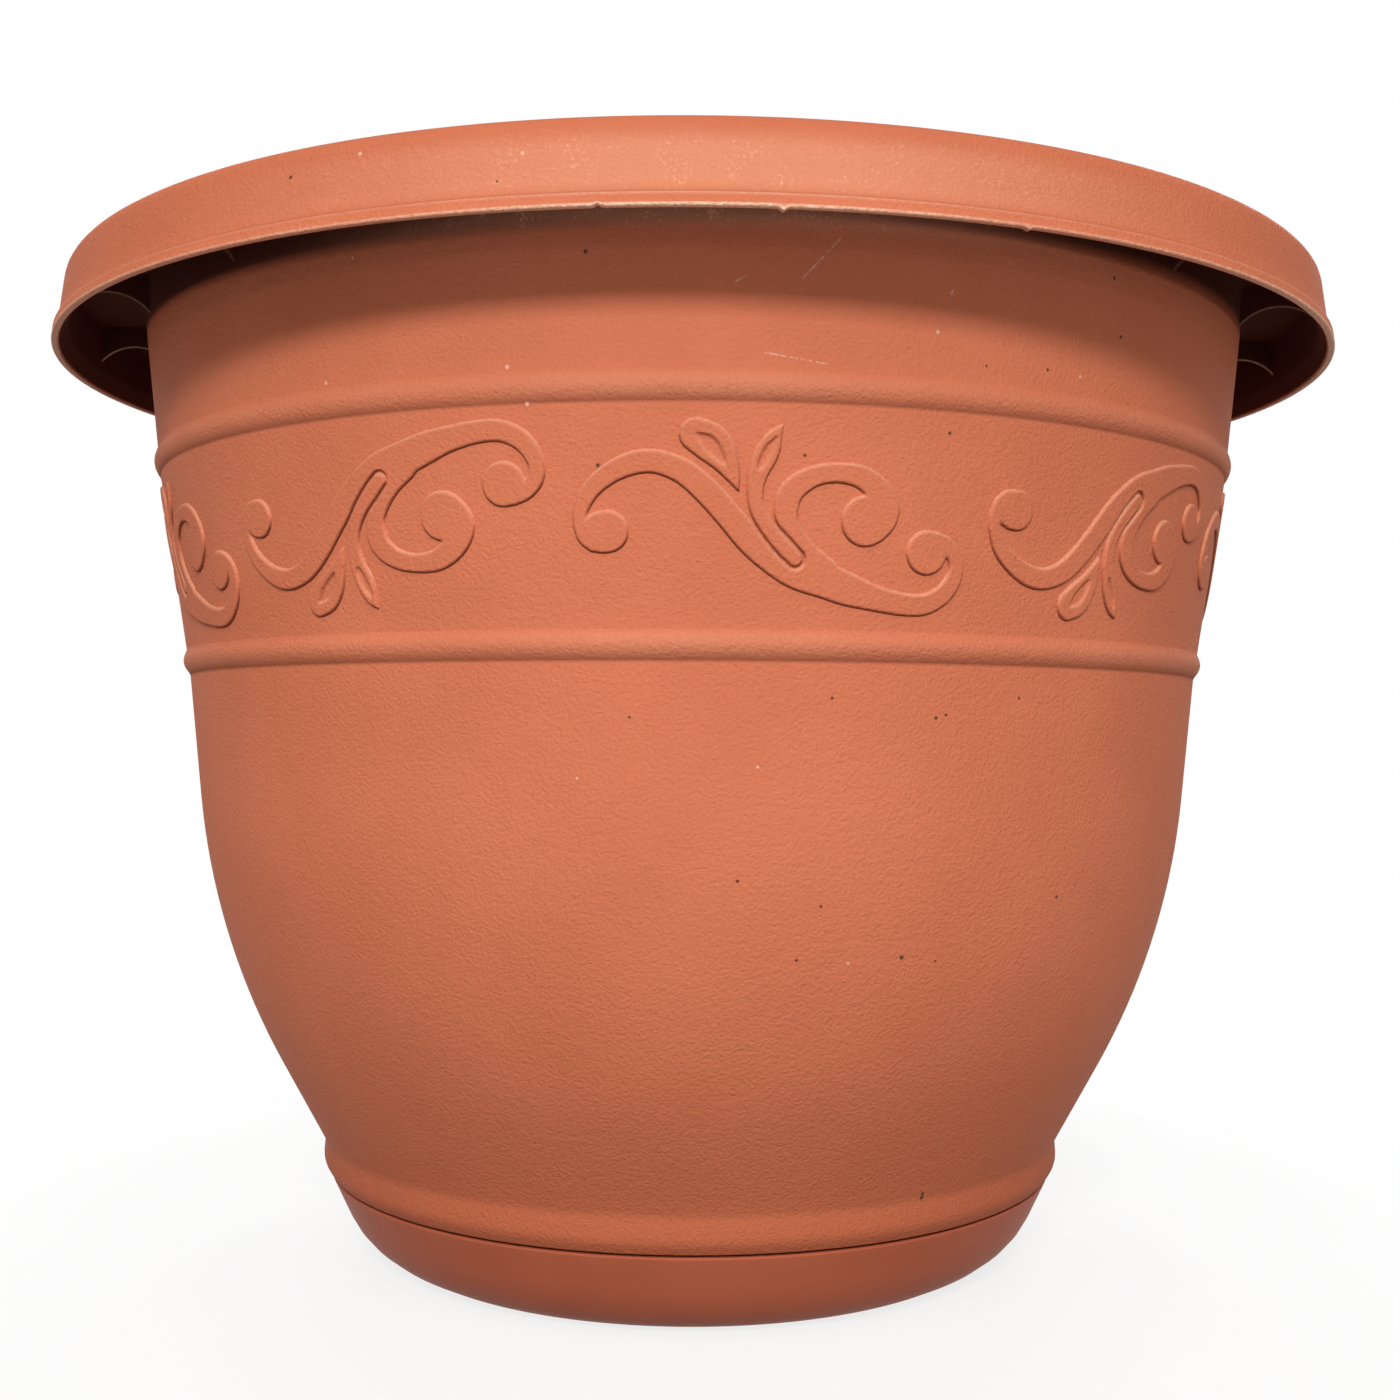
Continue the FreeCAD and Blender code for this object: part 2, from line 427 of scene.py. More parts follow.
def web_plates(
    name: str, outline: np.ndarray, thickness: float, bevel: float, angles: np.ndarray, worn_and_highlit: Any = 0.0
) -> Moulding:
    """Upright plates set round the axis, with softened edges.

    Each plate carries its closed (radius, height) outline through four rings across the thickness: the two
    outer rings are drawn in by the bevel along the outline's inward normal, and flat faces close them.

    Args:
        name: Name of the piece.
        outline: Closed outline, as (radius, height) rows without a repeated end.
        thickness: Thickness of a plate.
        bevel: Width of the softened edge.
        angles: Angle of each plate round the axis.
        worn_and_highlit: Share of pale colour on the plates' edges, a painted highlight on the ribs, one
            number or one for each plate.

    Returns:
        Moulding that holds all the plates.
    """
    ahead = np.roll(outline, -1, axis=0)
    tangent = ahead - np.roll(outline, 1, axis=0)
    normal = np.stack([-tangent[:, 1], tangent[:, 0]], axis=1)
    normal /= np.linalg.norm(normal, axis=1, keepdims=True)
    area = float((outline[:, 0] * ahead[:, 1] - ahead[:, 0] * outline[:, 1]).sum())
    drawn_in = outline + math.copysign(bevel, area) * normal
    section = np.stack([drawn_in, outline, outline, drawn_in])
    across = np.array([-1, -1, 1, 1]) * thickness / 2 + np.array([0, 1, -1, 0]) * bevel
    moulding = Moulding(name)
    for angle, plate_highlight in zip(angles, np.broadcast_to(worn_and_highlit, angles.shape)):
        turn = math.radians(angle)
        out, along = np.array([math.sin(turn), -math.cos(turn)]), np.array([math.cos(turn), math.sin(turn)])
        flat = section[..., :1] * out + across[:, None, None] * along
        places = np.concatenate([flat, section[..., 1:]], axis=-1)
        # Every plate is marked for full painted shade, and its edges for the given share of painted
        # highlight.
        rings = moulding.points(places, hollow=1.0, rubbed=plate_highlight * np.array([[0], [1], [1], [0]]))
        moulding.skin(rings)
        moulding.lid(rings[0])
        moulding.lid(rings[-1])
    return moulding


# Shader graphs


def grey(level: float) -> Colour:
    """Grey of a level from 0 to 1."""
    return level, level, level


class Value:
    """Number socket whose operators add Math nodes to its graph."""

    def __init__(self, graph: "Graph", socket: bpy.types.NodeSocket) -> None:
        """Wraps one output socket."""
        self.graph = graph
        self.socket = socket

    def math(self, operation: str, *terms: Any) -> "Value":
        """Result of a Math node on the given terms."""
        return self.graph.value("ShaderNodeMath", {"operation": operation}, dict(enumerate(terms)))

    def __add__(self, other: Any) -> "Value":
        """Sum."""
        return self.math("ADD", self, other)

    def __sub__(self, other: Any) -> "Value":
        """Difference."""
        return self.math("SUBTRACT", self, other)

    def __rsub__(self, other: Any) -> "Value":
        """Difference with this value second."""
        return self.math("SUBTRACT", other, self)

    def __mul__(self, other: Any) -> "Value":
        """Product."""
        return self.math("MULTIPLY", self, other)

    def __truediv__(self, other: Any) -> "Value":
        """Quotient."""
        return self.math("DIVIDE", self, other)

    __radd__ = __add__
    __rmul__ = __mul__

    def most(self, other: Any) -> "Value":
        """Larger of this value and another."""
        return self.math("MAXIMUM", self, other)

    def least(self, other: Any) -> "Value":
        """Smaller of this value and another."""
        return self.math("MINIMUM", self, other)

    def rise(self, low: float, high: float) -> "Value":
        """Smooth step from 0 at low to 1 at high."""
        sockets = {"Value": self, "From Min": low, "From Max": high}
        return self.graph.value("ShaderNodeMapRange", {"interpolation_type": "SMOOTHSTEP"}, sockets)

    def fall(self, low: float, high: float) -> "Value":
        """Smooth step from 1 at low to 0 at high."""
        return 1 - self.rise(low, high)


class Graph:
    """Node tree of one material or of the world."""

    def __init__(self, owner: bpy.types.ID) -> None:
        """Starts an empty tree.

        Args:
            owner: Material or world that holds the tree.
        """
        self.owner = owner
        owner.use_nodes = True
        self.tree = owner.node_tree
        self.tree.nodes.clear()

    def node(self, kind: str, settings: dict[str, Any], sockets: dict[Any, Any]) -> bpy.types.Node:
        """Adds any node.

        Args:
            kind: Blender's name of the node's type.
            settings: Properties of the node, set first.
            sockets: Values, sockets or wrapped numbers for its inputs, by name or index. A colour is given
                as three numbers, and is opaque.

        Returns:
            The new node.
        """
        made = self.tree.nodes.new(kind)
        for key, setting in settings.items():
            setattr(made, key, setting)
        for key, given in sockets.items():
            source, entry = given.socket if isinstance(given, Value) else given, made.inputs[key]
            if isinstance(source, bpy.types.NodeSocket):
                self.tree.links.new(source, entry)
            else:
                entry.default_value = (*source, 1.0) if entry.type == "RGBA" else source
        return made

    def value(self, kind: str, settings: dict[str, Any], sockets: dict[Any, Any], output: Any = 0) -> Value:
        """One number output of a new node."""
        return Value(self, self.node(kind, settings, sockets).outputs[output])

    def vector(self, operation: str, sockets: dict[Any, Any]) -> bpy.types.NodeSocket:
        """Vector output of a Vector Math node."""
        return self.node("ShaderNodeVectorMath", {"operation": operation}, sockets).outputs[0]

    def between(self, operation: str, a: Any, b: Any) -> Value:
        """Number output of a Vector Math node, such as a distance or a dot product."""
        return self.value("ShaderNodeVectorMath", {"operation": operation}, {0: a, 1: b}, "Value")

    @cached_property
    def place(self) -> bpy.types.NodeSocket:
        """Object coordinates, in metres, from one node."""
        return self.node("ShaderNodeTexCoord", {}, {}).outputs["Object"]

    @cached_property
    def axes(self) -> list[Value]:
        """The three object coordinates, from one node."""
        split = self.node("ShaderNodeSeparateXYZ", {}, {0: self.place})
        return [Value(self, axis) for axis in split.outputs]

    def mark(self, mark: Mark) -> Value:
        """Vertex attribute of the piece."""
        return self.value("ShaderNodeAttribute", {"attribute_name": mark.value}, {}, "Fac")

    def noise(self, noise: Noise) -> Value:
        """Noise between 0 and 1 over the piece."""
        look = {"Scale": 1 / (noise.lump * MM), "Detail": noise.detail, "Roughness": noise.roughness}
        return self.value("ShaderNodeTexNoise", {}, {"Vector": self.place, **look}, "Fac")

    def mix(self, share: Any, a: Any, b: Any) -> bpy.types.NodeSocket:
        """Colour mixed from a to b by the share."""
        sockets = {MIX_SHARE: share, MIX_A: a, MIX_B: b}
        return self.node("ShaderNodeMix", {"data_type": "RGBA"}, sockets).outputs[MIX_RESULT]

    def layered(self, base: Colour, layers: Sequence[tuple[Value, Colour]]) -> Any:
        """Colour built up on a base by layers of a share and a colour, the lowest first."""
        return reduce(lambda colour, layer: self.mix(layer[0], colour, layer[1]), layers, base)

    def most(self, masks: Sequence[Value]) -> Value:
        """Largest of several masks."""
        return reduce(Value.most, masks)

    def spot(self, centre: Vector, radius: float) -> Value:
        """Mask of a round spot: 1 within half its radius, 0 past the radius."""
        return self.between("DISTANCE", self.place, tuple(centre)).fall(*metres(0.5 * radius, radius))

    def streak(self, start: Vector, end: Vector, width: float) -> Value:
        """Mask of a straight line.

        It falls with the distance to start + t (end - start), with t the clamped share along the line.

        Args:
            start: One end, in metres.
            end: The other end, in metres.
            width: Width of the line, whose middle two fifths have the full strength.

        Returns:
            The mask, from 0 to 1.
        """
        along = end - start
        offset = self.vector("SUBTRACT", {0: self.place, 1: tuple(start)})
        share = self.between("DOT_PRODUCT", offset, tuple(along)) / along.length_squared
        reach = self.vector("SCALE", {0: tuple(along), "Scale": share.most(0.0).least(1.0)})
        nearest = self.vector("ADD", {0: reach, 1: tuple(start)})
        return self.between("DISTANCE", self.place, nearest).fall(*metres(0.2 * width, 0.5 * width))

    def seen(self) -> Value:
        """1 for rays that show what they meet: camera, glossy and transmission rays."""
        outputs = self.node("ShaderNodeLightPath", {}, {}).outputs
        return self.most([Value(self, outputs[ray]) for ray in SEEN_RAYS])

    def mix_shaders(self, share: Value, a: bpy.types.Node, b: bpy.types.Node) -> bpy.types.Node:
        """Shader mixed from a to b by the share."""
        return self.node("ShaderNodeMixShader", {}, {0: share, 1: a.outputs[0], 2: b.outputs[0]})

    def plastic(self, colour: Any, roughness: Value, gloss: float, relief: float, height: Value) -> Any:
        """Ends the tree with a plastic surface.

        Args:
            colour: Colour over the surface.
            roughness: Roughness over the surface.
            gloss: Specular level, the same all over.
            relief: Depth of the fine relief.
            height: Height of that relief over the surface, from about 0 to 1.

        Returns:
            The material.
        """
        normal = self.node("ShaderNodeBump", {}, {"Distance": relief * MM, "Height": height})
        return self.finish(self.node("ShaderNodeBsdfPrincipled", {}, {
            "Base Color": colour,
            "Roughness": roughness,
            "IOR": PLASTIC_IOR,
            "Specular IOR Level": gloss,
            "Normal": normal.outputs[0],
        }))

    def finish(self, shader: bpy.types.Node) -> Any:
        """Ends the tree with its output.

        Args:
            shader: Node that gives the surface.

        Returns:
            The tree's owner.
        """
        ending = "World" if isinstance(self.owner, bpy.types.World) else "Material"
        self.node(f"ShaderNodeOutput{ending}", {}, {"Surface": shader.outputs[0]})
        return self.owner


@dataclass(frozen=True)
class RimScuffsAndSheen:
    """Front of the rim's face: a faint even painted sheen, with small pale flecks of scuffing in it."""

    above_lip: Span = (1.5, 5.0)
    below_top: Span = (7.0, 2.0)
    front: Span = (-130.0, -100.0)
    left: Span = (-100.0, 0.0)
    right: Span = (10.0, 110.0)
    at_sides: float = 0.10
    # Share of the even part: a painted sheen on the rim's front.
    painted_sheen: float = 0.42
    fleck_depth: float = 0.46
    fleck: Noise = Noise(0.7, 2.0, 0.6)
    fleck_range: Span = (0.52, 0.72)
    patch: Noise = Noise(6.0, 2.0)
    patch_range: Span = (0.38, 0.62)

    def mask(self, graph: Graph, bell: "Bell") -> Value:
        """Mask over the rim's face, which fades towards the lip, the shoulder and both sides.

        Args:
            graph: Graph that takes the nodes.
            bell: Pot whose rim is worn.

        Returns:
            How strongly the rim shows scuffing and painted sheen, from 0 to 1.
        """
        x, y, z = graph.axes
        belt = z.rise(*metres(*(bell.lip_z + up for up in self.above_lip)))
        belt *= z.fall(*metres(*(bell.height - down for down in self.below_top)))
        belt *= y.fall(*metres(*self.front))
        middle = x.rise(*metres(*self.left)) * x.fall(*metres(*self.right))
        flecks = graph.noise(self.fleck).rise(*self.fleck_range)
        flecks *= graph.noise(self.patch).rise(*self.patch_range)
        return belt * (self.at_sides + (1 - self.at_sides) * middle) * (self.painted_sheen + self.fleck_depth * flecks)


@dataclass(frozen=True)
class GrainedPlastic:
    """Terracotta-coloured plastic with a fine moulded grain, painted shade, and pale edges of abrasion and
    painted highlight.
    """

    colour: Colour = (0.65, 0.188, 0.095)
    shade: Colour = (0.61, 0.172, 0.085)
    # Painted shade in the hollows, creases and undersides and on the wall behind the lip.
    shade_paint: Colour = (0.10, 0.026, 0.016)
    # Painted shade that darkens the pot towards its foot, on the foot band and over the rim.
    painted_dimming: Colour = (0.47, 0.122, 0.056)
    # Pale edge colour: abrasion on the lip and the rings' tips, painted highlight on the flare's step, the
    # ribs and the scrolls.
    rubbed: Colour = (0.88, 0.58, 0.40)
    # Colour of the scuffing on the rim's front, which in the mask's even part is a painted sheen.
    scuffed_and_sheen: Colour = (0.80, 0.35, 0.21)
    dirt: Colour = (0.075, 0.035, 0.024)
    chip: Colour = (0.84, 0.52, 0.40)

    grain: Noise = Noise(0.7, 2.0, 0.6)
    grain_range: Span = (0.30, 0.60)
    grain_depth: float = 0.25
    peel: Noise = Noise(1.7, 1.0)
    clouds: Noise = Noise(34.0, 3.0, 0.55)
    cloud_range: Span = (0.34, 0.70)
    # Heights of the painted shade towards the foot, on the foot band and above the lip, and how strong each
    # is.
    foot_dimming: Span = (18.0, 80.0)
    band_dimming: Span = (24.0, 32.0)
    rim_dimming: Span = (0.5, 3.5)
    foot_dimming_depth: float = 0.62
    band_dimming_share: float = 0.4
    rim_dimming_depth: float = 0.5

    relief: float = 0.36
    grain_height: float = 0.9
    peel_height: float = 0.3
    hollow_flat: float = 0.85
    gloss: float = 0.06
    roughness: float = 0.52
    grain_roughness: float = 0.14
    hollow_roughness: float = 0.34

    # How pale the edges are, for abrasion and painted highlight alike.
    rubbed_least: float = 0.65
    rubbed_grain: float = 0.5
    rubbed_range: Span = (0.40, 0.65)
    scuffs_and_sheen: RimScuffsAndSheen = RimScuffsAndSheen()
    scratches: tuple[Scratch, ...] = ()
    scratch_depth: float = 0.6
    scratch_range: Span = (0.35, 0.65)
    pale_specks: tuple[Spot, ...] = ()
    pale_depth: float = 0.6
    dark_specks: tuple[Spot, ...] = ()
    dark_depth: float = 0.9

    def material(self, bell: "Bell") -> bpy.types.Material:
        """Builds the material.

        Args:
            bell: Pot whose wall carries the specks and scratches.

        Returns:
            Material on Object coordinates and the piece's marks.
        """
        graph = Graph(bpy.data.materials.new("grained_plastic_looks"))
        hollow, rubbed = graph.mark(Mark.PAINTED_SHADE), graph.mark(Mark.WEAR_AND_HIGHLIGHT)
        grain, peel, clouds = (graph.noise(noise) for noise in (self.grain, self.peel, self.clouds))
        scratched = self.scratched(graph, bell) * grain.rise(*self.scratch_range)
        colour = graph.layered(self.shade, [
            (clouds.rise(*self.cloud_range), self.colour),
            (grain.fall(*self.grain_range) * self.grain_depth, self.shade),
            # From here the layers paint shade low down, on the rim and in the hollows, sheen on the rim's
            # front, and pale edges of abrasion and painted highlight, besides real scuffing, scratches and
            # specks.
            (self.painted_dimming_mask(graph, bell), self.painted_dimming),
            (hollow, self.shade_paint),
            (self.scuffs_and_sheen.mask(graph, bell), self.scuffed_and_sheen),
            (rubbed * (self.rubbed_least + self.rubbed_grain * grain.rise(*self.rubbed_range)), self.rubbed),
            (scratched * self.scratch_depth, self.chip),
            (self.specks(graph, bell, self.pale_specks) * self.pale_depth, self.chip),
            (self.specks(graph, bell, self.dark_specks) * self.dark_depth, self.dirt),
        ])
        roughness = self.roughness + self.grain_roughness * grain + self.hollow_roughness * hollow
        height = (grain * self.grain_height + peel * self.peel_height) * (1 - self.hollow_flat * hollow)
        return graph.plastic(colour, roughness, self.gloss, self.relief, height)

    def painted_dimming_mask(self, graph: Graph, bell: "Bell") -> Value:
        """Mask of painted shade, which grows towards the foot, lies on the foot band and covers the rim.

        Args:
            graph: Graph that takes the nodes.
            bell: Pot that takes the painted shade.

        Returns:
            How strongly shade is painted, from 0 to 1.
        """
        z = graph.axes[2]
        foot = z.fall(*metres(*self.foot_dimming)) + self.band_dimming_share * z.fall(*metres(*self.band_dimming))
        rim = z.rise(*metres(*(bell.lip_z + up for up in self.rim_dimming)))
        return self.foot_dimming_depth * foot + self.rim_dimming_depth * rim

    def scratched(self, graph: Graph, bell: "Bell") -> Value:
        """Mask of the scratches on the pot's outside."""
        lines = [(bell.outside(*line.start), bell.outside(*line.end), line.width) for line in self.scratches]
        return graph.most([graph.streak(*line) for line in lines])

    def specks(self, graph: Graph, bell: "Bell", spots: Sequence[Spot]) -> Value:
        """Mask of small specks at their places on the pot's outside."""
        places = [bell.outside(spot.angle, spot.z, spot.on_rim) for spot in spots]
        return graph.most([graph.spot(place, spot.radius) for place, spot in zip(places, spots)])


@dataclass(frozen=True)
class SmoothPlastic:
    """The saucer's plain plastic: a little darker, with a low sheen and only soft clouds in its colour."""

    colour: Colour = (0.455, 0.115, 0.057)
    shade: Colour = (0.41, 0.101, 0.049)
    clouds: Noise = Noise(28.0, 3.0, 0.55)
    cloud_range: Span = (0.32, 0.70)
    fine: Noise = Noise(1.6, 2.0)
    fine_range: Span = (0.30, 0.60)
    fine_depth: float = 0.12
    relief: float = 0.05
    gloss: float = 0.10
    roughness: float = 0.46
    fine_roughness: float = 0.12

    def material(self) -> bpy.types.Material:
        """Builds the material.

        Returns:
            Material on Object coordinates.
        """
        graph = Graph(bpy.data.materials.new("smooth_plastic_looks"))
        clouds, fine = graph.noise(self.clouds), graph.noise(self.fine)
        colour = graph.layered(self.shade, [
            (clouds.rise(*self.cloud_range), self.colour),
            (fine.fall(*self.fine_range) * self.fine_depth, self.shade),
        ])
        roughness = self.roughness + self.fine_roughness * fine
        return graph.plastic(colour, roughness, self.gloss, self.relief, fine)


@dataclass(frozen=True)
class StudioFloor:
    """Pale floor that looks white to the camera, keeps the shadow and throws back only some of the light.

    The shadow's reach is in metres from the axis.
    """

    bounce: float = 0.22
    matt: float = 0.95
    glow: float = 0.80
    shadow_reach: Span = (0.10, 0.26)

    def material(self) -> bpy.types.Material:
        """Builds the material: rays that are seen get glow and shade mixed, and the rest a plain grey.

        The glow's share rises to 1 away from the axis, so the floor fades into the white round it.

        Returns:
            Material on Object coordinates.
        """
        graph = Graph(bpy.data.materials.new("studio_floor_looks"))
        away = graph.between("DISTANCE", graph.place, (0.0, 0.0, 0.0))
        glow = self.glow + (1 - self.glow) * away.rise(*self.shadow_reach)
        white = graph.node("ShaderNodeEmission", {}, {"Color": grey(1.0), "Strength": 1.0})
        matt = graph.node("ShaderNodeBsdfDiffuse", {}, {"Color": grey(self.matt)})
        plain = graph.node("ShaderNodeBsdfDiffuse", {}, {"Color": grey(self.bounce)})
        pale = graph.mix_shaders(glow, matt, white)
        return graph.finish(graph.mix_shaders(graph.seen(), plain, pale))


# The pot


@dataclass
class Bell:
    """The pot: bell wall with rings and foot band, hollow rim with ribs, floor with drain holes and feet."""

    rim_radius: float = 152.5
    height: float = 228.5
    wall: float = 2.2
    segments: int = 324
    profile_step: float = 5.0

    rim_height: float = 17.0
    rim_face_draft: float = 2.2
    flare_proud: float = 0.9
    flare_height: float = 2.5
    flare_draft: float = 0.3
    lip_edge: float = 1.4
    lip_taper: float = 4.0
    worn_width: float = 0.7
    # Painted highlight along the flare's step.
    step_highlight: float = 0.3
    shoulder_fillet: float = 3.8
    mouth_fillet: float = 4.0
    rim_overhang: float = 19.5
    hollow_fillet: float = 1.5
    # Painted shade on the wall behind the lip: from the first height above the lip to the second it grows to
    # full, and its border rises by the lift away from the front.
    hollow_shade: Span = (2.2, 4.2)
    hollow_lift: float = 3.5
    hollow_front: Span = (-25.0, 50.0)
    shade_step: float = 0.75
    shade_end: float = 3.0
    edge_fillet: float = 0.4
    lip_rubbed: float = 0.35
    lip_worn: tuple[WearAndHighlight, ...] = (WearAndHighlight(0, 15, 0.55), WearAndHighlight(70, 22, 0.65), WearAndHighlight(-75, 22, 0.4))
    nibs: tuple[Nib, ...] = (Nib(-6.1, -0.4, 0.2), Nib(5.5, 0.6, 0.22), Nib(22.1, 0.4, 0.2))
    nib_reach: float = 2.5
    nib_columns: int = 13

    rib_count: int = 16
    rib_thickness: float = 1.2
    rib_start: float = 1.5
    rib_end_depth: float = 9.5
    rib_arch: float = 4.5
    rib_bevel: float = 0.25
    # Painted highlight on the ribs' edges: the least all round, and stretches at the sides.
    rib_rubbed: float = 0.04
    rib_highlight: tuple[WearAndHighlight, ...] = (WearAndHighlight(88, 24, 0.65), WearAndHighlight(-88, 24, 0.65))
    arch_points: int = 33

    ring_height: float = 5.6
    ring_proud: float = 1.1
    ring_curve: float = 3.2
    ring_edge_fillet: float = 0.6
    # Painted shade in the crease at each ring's foot.
    ring_crease: float = 0.4
    ring_wear: float = 0.1
    upper_ring: Point = (128.7, 184.1)
    lower_ring: Point = (121.6, 138.1)

    belly: Point = (115.7, 77.1)
    belly_fillet: float = 165.0
    spring: Point = (89.5, 28.5)
    spring_fillet: float = 4.0
    foot_band: Point = (89.9, 23.2)
    foot_band_fillet: float = 4.0
    ledge: Point = (88.0, 20.6)
    base_top: Point = (83.4, 20.6)
    base_low: Point = (75.4, 9.0)
    base_fillet: float = 4.0
    # Share of painted shade all over the pot's inside.
    inside_shade: float = 0.35

    floor_radius: float = 66.0
    floor_rings: int = 9
    floor_side_points: int = 17
    drain_count: int = 6
    drain_radius: float = 5.0
    drain_circle: float = 48.0
    foot_height: float = 6.0
    foot_thickness: float = 3.0
    foot_reach: Span = (42.9, 64.9)
    foot_fillet: float = 1.2
    foot_bevel: float = 0.4
    foot_step: float = 4.0
    root: float = 0.6

    def __post_init__(self) -> None:
        """Works out the heights and radii that follow from the sizes."""
        self.lip_z = self.height - self.rim_height
        self.crown_under = self.height - self.wall
        self.face_radius = self.rim_radius - self.flare_proud
        self.shoulder_radius = self.face_radius - self.rim_face_draft
        self.wall_top = (self.rim_radius - self.rim_overhang, self.crown_under)
        self.floor_under = self.base_low[1]
        self.floor_top = self.floor_under + self.wall

    def face_line(self, z: float) -> float:
        """Radius of the rim's outer face at a height."""
        return line_radius((self.face_radius, self.lip_z), (self.shoulder_radius, self.height), z)

    def wall_line(self, z: Any) -> Any:
        """Radius of the outer wall between the upper ring and the crown."""
        return line_radius(self.upper_ring, self.wall_top, z)

    def ring(self, below: Point, low: Point, high: Point) -> list[Corner]:
        """Corners of a half-round ring on the straight wall through two (radius, height) points.

        Both sides run from the wall to touch the crown's arc, so they meet at a tip above the crown.

        Args:
            below: Point of the wall below the ring.
            low: Foot of the ring on the wall.
            high: Point of the wall above the ring.

        Returns:
            Corners upwards, with painted shade in the crease at the ring's foot.
        """
        crease_z = low[1] - self.ring_edge_fillet
        half, depth = self.ring_height / 2, self.ring_curve - self.ring_proud
        slope = math.asin(self.ring_curve / math.hypot(half, depth)) - math.atan2(depth, half)
        middle, top = low[1] + half, low[1] + self.ring_height
        tip = line_radius(low, high, middle) + half * math.tan(slope)
        return [
            Corner(line_radius(below, low, crease_z), crease_z),
            Corner(*low, self.ring_edge_fillet / 2, self.ring_crease),
            Corner(tip, middle, self.ring_curve, 0, self.ring_wear),
            Corner(line_radius(low, high, top), top, self.ring_edge_fillet),
        ]

    def outer_corners(self) -> list[Corner]:
        """Outside from the floor up to the hollow under the crown.

        Returns:
            Corners upwards, close together where painted shade darkens the wall behind the lip. The base's
            underside has full painted shade.
        """
        shade_top = self.rim_height - self.wall - self.shade_end
        shaded = self.lip_z + np.arange(self.hollow_shade[0], shade_top, self.shade_step)
        return [
            Corner(self.floor_radius, self.floor_under, 0, 1),
            Corner(*self.base_low, self.base_fillet, 1),
            Corner(*self.base_top, self.edge_fillet, 1),
            Corner(*self.ledge, self.edge_fillet),
            Corner(*self.foot_band, self.foot_band_fillet),
            Corner(*self.spring, self.spring_fillet),
            Corner(*self.belly, self.belly_fillet),
            *self.ring(self.belly, self.lower_ring, self.upper_ring),
            *self.ring(self.lower_ring, self.upper_ring, self.wall_top),
            *(Corner(self.wall_line(z), z) for z in shaded),
            Corner(*self.wall_top, self.hollow_fillet, 1),
        ]

    def rim_corners(self) -> list[Corner]:
        """Rim from the hollow's outer corner, round the lip and over the crown to the mouth.

        Returns:
            Corners in that order, with painted shade in the hollow. Only the lip's edge has a pale mark of 1,
            as abraded; the flare's step has a painted highlight.
        """
        taper_z, flare_top = self.lip_z + self.lip_taper, self.lip_z + self.flare_height
        worn_z, edge_z = self.lip_z + self.worn_width, flare_top - self.worn_width
        step_z = flare_top + self.worn_width
        taper = (self.rim_radius - self.lip_edge, self.lip_z), (self.face_line(taper_z) - self.wall, taper_z)
        flare = (self.rim_radius, self.lip_z), (self.rim_radius - self.flare_draft, flare_top)
        return [
            Corner(self.face_line(self.crown_under) - self.wall, self.crown_under, self.hollow_fillet, 1),
            Corner(*taper[1], self.edge_fillet, 1),
            Corner(line_radius(*taper, worn_z), worn_z, 0, 1),
            Corner(*taper[0], self.edge_fillet, 0, 1),
            Corner(*flare[0], self.edge_fillet, 0, 1),
            Corner(line_radius(*flare, worn_z), worn_z),
            Corner(line_radius(*flare, edge_z), edge_z),
            Corner(*flare[1], self.flare_draft, 0, self.step_highlight),
            Corner(self.face_radius, flare_top, self.edge_fillet, self.step_highlight),
            Corner(self.face_line(step_z), step_z),
            Corner(self.shoulder_radius, self.height, self.shoulder_fillet),
            Corner(self.wall_line(self.height) - self.wall, self.height, self.mouth_fillet),
        ]

    def inner_corners(self) -> list[Corner]:
        """Inside from the upper ring down to the floor, one wall in from the outside.

        Returns:
            Corners downwards, with the inside's painted shade.
        """
        low, high = ((r - self.wall, z) for r, z in (self.base_low, self.base_top))
        neck, shelf_z = self.spring[0] - self.wall, self.ledge[1] + self.wall
        places = [
            (self.upper_ring[0] - self.wall, self.upper_ring[1], 0),
            (self.lower_ring[0] - self.wall, self.lower_ring[1], 0),
            (self.belly[0] - self.wall, self.belly[1], self.belly_fillet),
            (neck, self.spring[1], self.spring_fillet),
            (neck, shelf_z, self.edge_fillet),
            (line_radius(low, high, shelf_z), shelf_z, self.edge_fillet),
            (line_radius(low, high, self.floor_top), self.floor_top, self.base_fillet - self.wall),
            (self.floor_radius, self.floor_top, 0),
        ]
        return [Corner(*place, self.inside_shade) for place in places]

    def profile(self) -> np.ndarray:
        """Whole profile of the bell, from under the floor round to the floor's top."""
        return rounded(self.outer_corners() + self.rim_corners() + self.inner_corners(), self.profile_step)

    def outside(self, angle: float, z: float, on_rim: bool = False) -> Vector:
        """Place of a small mark on the pot's outside.

        Args:
            angle: Angle round the pot.
            z: Height of the mark.
            on_rim: Whether it is on the rim's face; else it is on the wall.

        Returns:
            The place in metres.
        """
        flare_foot, ledge = 4, 3
        corners = self.rim_corners()[flare_foot:] if on_rim else self.outer_corners()[ledge:]
        r, height = rounded(corners, self.profile_step).T[:2]
        return Vector(turned_places(np.interp(z, height, r), z, angle) * MM)

    @property
    def angles(self) -> np.ndarray:
        """Angles of the skin's columns: even all round, and closer where a nib sits on the lip.

        Returns:
            Angles from 0 to 360, rounded so that columns that fall together are one.
        """
        spread = np.linspace(-self.nib_reach, self.nib_reach, self.nib_columns)
        close = [nib.angle + nib.width * spread for nib in self.nibs]
        return np.unique(np.round(np.concatenate([evenly_round(self.segments), *close]) % 360, 4))

